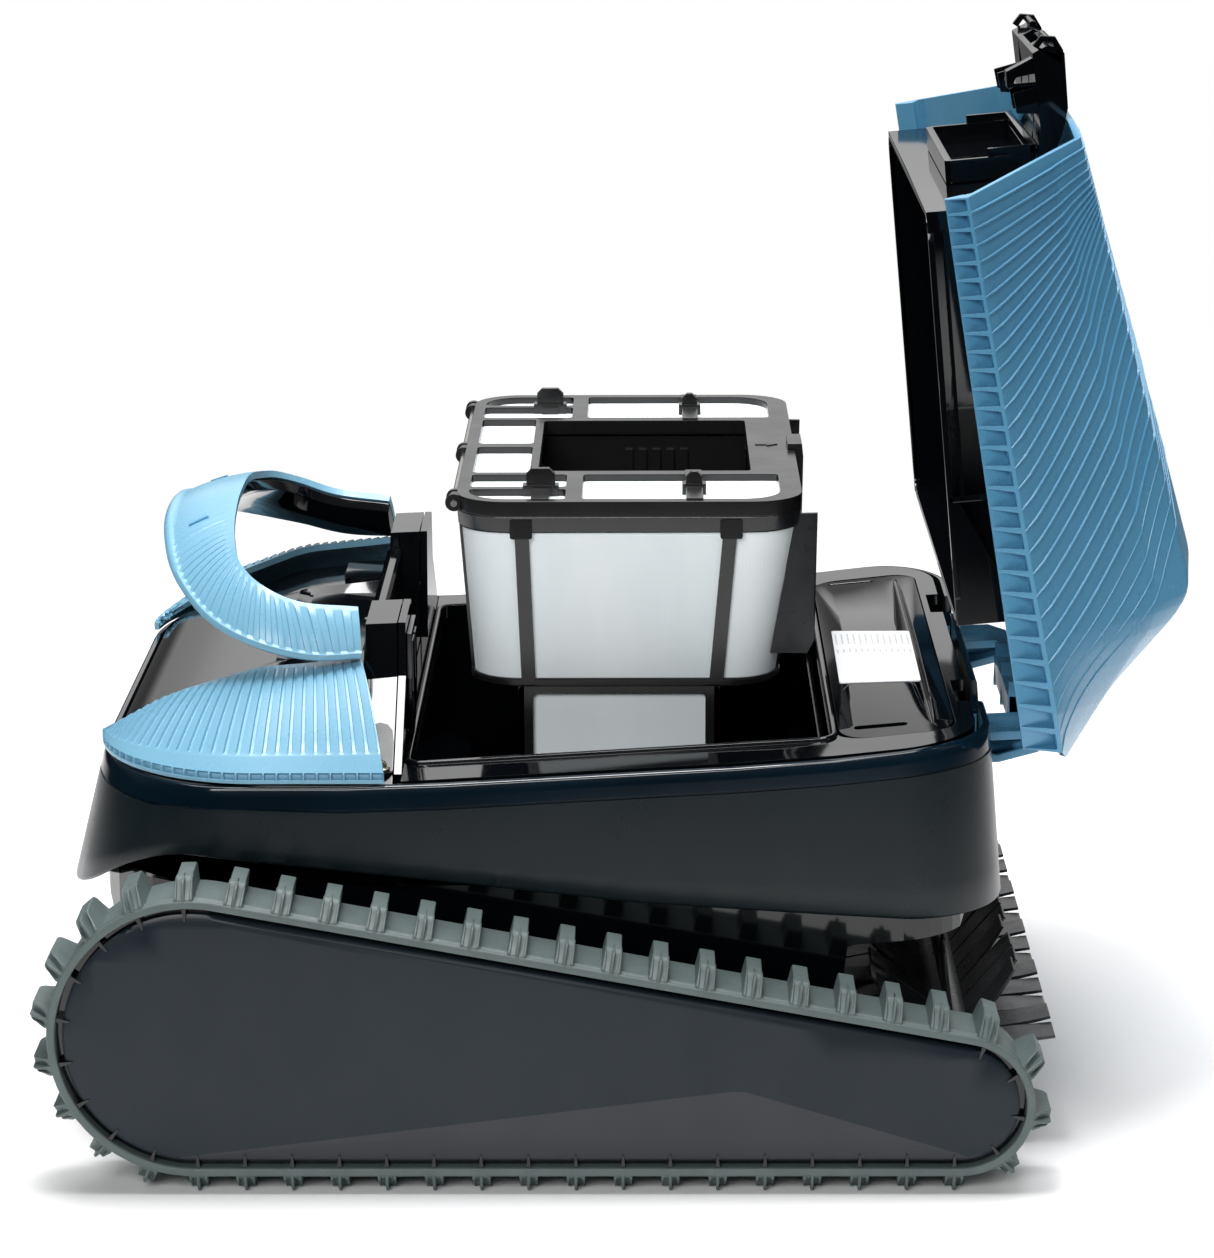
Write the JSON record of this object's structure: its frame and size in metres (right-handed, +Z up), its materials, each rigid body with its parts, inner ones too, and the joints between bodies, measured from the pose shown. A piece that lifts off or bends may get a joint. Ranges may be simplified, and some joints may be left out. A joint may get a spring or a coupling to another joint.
{
  "type": "pool cleaner robot",
  "caption": "Tracked robotic pool cleaner with its lid swung open and its filter basket lifted out, ribbed front fenders and a carry handle",
  "frame": {"origin": "on the ground, under the middle of the overall bounding box with the lid open", "axes": "+X from the handle end towards the hinge end, +Y towards the robot's left track, +Z up"},
  "size_m": [0.4835, 0.41, 0.4456],
  "materials": {
    "blue_plastic": "satin moulded, fine ribs",
    "gloss_black": "polished piano black",
    "hull_matte": "fine satin texture",
    "slate_plastic": "fine satin texture",
    "track_rubber": "grey green moulded rubber",
    "dark_rubber": "soft black PVC",
    "frame_black": "satin moulded",
    "filter_cloth": "fine woven filter cloth",
    "label_white": "blank printed film",
    "steel": "plain bright",
    "smoked_plastic": "smoked, polished",
    "board_green": "lacquered circuit board"
  },
  "bodies": {
    "hull": {"body_shell": "hull_matte", "lower_hull": "gloss_black", "filter_bay": "gloss_black", "top_frame": "gloss_black", "fender_left": "blue_plastic", "fender_right": "blue_plastic", "front_deck": "gloss_black", "front_bulkhead": "gloss_black", "handle": "blue_plastic", "handle_liner": "gloss_black", "hood_clasp": "smoked_plastic", "rear_deck": "gloss_black", "rating_label": "label_white", "track_left": "track_rubber", "track_right": "track_rubber", "side_cover_left": "slate_plastic", "side_cover_right": "slate_plastic", "side_frame_left": "gloss_black", "side_frame_right": "gloss_black", "motor_housing": "frame_black", "motor_base": "frame_black", "pump_motor": "steel", "drive_motor_left": "steel", "drive_motor_right": "steel", "control_board": "board_green", "impeller_guard": "frame_black", "screw_left": "steel", "screw_right": "steel", "hinge_pin": "steel"},
    "lid": {"lid_shell": "blue_plastic", "lid_tray": "gloss_black", "lid_duct": "gloss_black", "lid_spine": "gloss_black", "hinge_arm_left": "blue_plastic", "hinge_arm_right": "blue_plastic"},
    "latch": {"latch_button": "gloss_black"},
    "basket": {"basket_frame": "frame_black", "basket_mesh": "filter_cloth", "basket_lower": "frame_black", "lower_mesh_left": "filter_cloth", "lower_mesh_right": "filter_cloth", "basket_hinge_pin": "steel", "basket_wing_left": "dark_rubber", "basket_wing_right": "dark_rubber"},
    "cover": {"basket_cover": "frame_black", "basket_cover_mesh": "filter_cloth"},
    "catch": {"basket_catch": "frame_black"},
    "flap_left": {"inlet_flap_left": "dark_rubber"},
    "flap_right": {"inlet_flap_right": "dark_rubber"},
    "front_wheel_left": {"front_wheel_left": "frame_black"},
    "rear_wheel_left": {"rear_wheel_left": "frame_black"},
    "sprocket_left": {"drive_sprocket_left": "frame_black"},
    "front_wheel_right": {"front_wheel_right": "frame_black"},
    "rear_wheel_right": {"rear_wheel_right": "frame_black"},
    "sprocket_right": {"drive_sprocket_right": "frame_black"},
    "brush": {"rear_brush": "dark_rubber"},
    "impeller": {"pump_impeller": "frame_black"}
  },
  "joints": [
    {"name": "lid_hinge", "type": "hinge", "parent": "hull", "child": "lid", "pos_m": [0.1412, 0, 0.1573], "axis": [0, -1, 0], "range_deg": [0, 84.9]},
    {"name": "basket_lift", "type": "slide", "parent": "hull", "child": "basket", "axis": [0, 0, -1], "range_m": [0, 0.0755]},
    {"name": "cover_hinge", "type": "hinge", "parent": "basket", "child": "cover", "pos_m": [-0.0731, 0, 0.2636], "axis": [0, 1, 0], "range_deg": [-95, 0]},
    {"name": "catch_release", "type": "hinge", "parent": "cover", "child": "catch", "pos_m": [0.0684, 0, 0.268], "axis": [0, 1, 0], "range_deg": [-20, 0], "stiffness_Nm_per_rad": 0.5},
    {"name": "latch_press", "type": "slide", "parent": "lid", "child": "latch", "axis": [-0.996, 0, -0.0889], "range_m": [0, 0.003], "stiffness_N_per_m": 600},
    {"name": "flap_left", "type": "hinge", "parent": "basket", "child": "flap_left", "pos_m": [-0.0031, 0.0605, 0.1147], "axis": [1, 0, 0], "range_deg": [0, 60]},
    {"name": "flap_right", "type": "hinge", "parent": "basket", "child": "flap_right", "pos_m": [-0.0031, -0.0605, 0.1147], "axis": [-1, 0, 0], "range_deg": [0, 60]},
    {"name": "front_wheel_left", "type": "hinge", "parent": "hull", "child": "front_wheel_left", "pos_m": [-0.1761, 0.18, 0.066], "axis": [0, 1, 0], "continuous": true},
    {"name": "rear_wheel_left", "type": "hinge", "parent": "hull", "child": "rear_wheel_left", "pos_m": [0.1324, 0.18, 0.0375], "axis": [0, 1, 0], "continuous": true},
    {"name": "sprocket_left", "type": "hinge", "parent": "hull", "child": "sprocket_left", "pos_m": [-0.0031, 0.18, 0.0256], "axis": [0, 1, 0], "continuous": true},
    {"name": "front_wheel_right", "type": "hinge", "parent": "hull", "child": "front_wheel_right", "pos_m": [-0.1761, -0.18, 0.066], "axis": [0, 1, 0], "continuous": true},
    {"name": "rear_wheel_right", "type": "hinge", "parent": "hull", "child": "rear_wheel_right", "pos_m": [0.1324, -0.18, 0.0375], "axis": [0, 1, 0], "continuous": true},
    {"name": "sprocket_right", "type": "hinge", "parent": "hull", "child": "sprocket_right", "pos_m": [-0.0031, -0.18, 0.0256], "axis": [0, 1, 0], "continuous": true},
    {"name": "brush_spin", "type": "hinge", "parent": "hull", "child": "brush", "pos_m": [0.1339, 0, 0.042], "axis": [0, 1, 0], "continuous": true},
    {"name": "impeller_spin", "type": "hinge", "parent": "hull", "child": "impeller", "pos_m": [-0.0036, 0, 0.157], "axis": [0, 0, 1], "continuous": true}
  ],
  "couplings": [
    {"joint": "basket_lift", "follows": "lid_hinge", "m_per_rad": 0.050615},
    {"joint": "rear_wheel_left", "follows": "front_wheel_left", "ratio": 2.0755},
    {"joint": "sprocket_left", "follows": "front_wheel_left", "ratio": 3.7671},
    {"joint": "rear_wheel_right", "follows": "front_wheel_right", "ratio": 2.0755},
    {"joint": "sprocket_right", "follows": "front_wheel_right", "ratio": 3.7671}
  ]
}
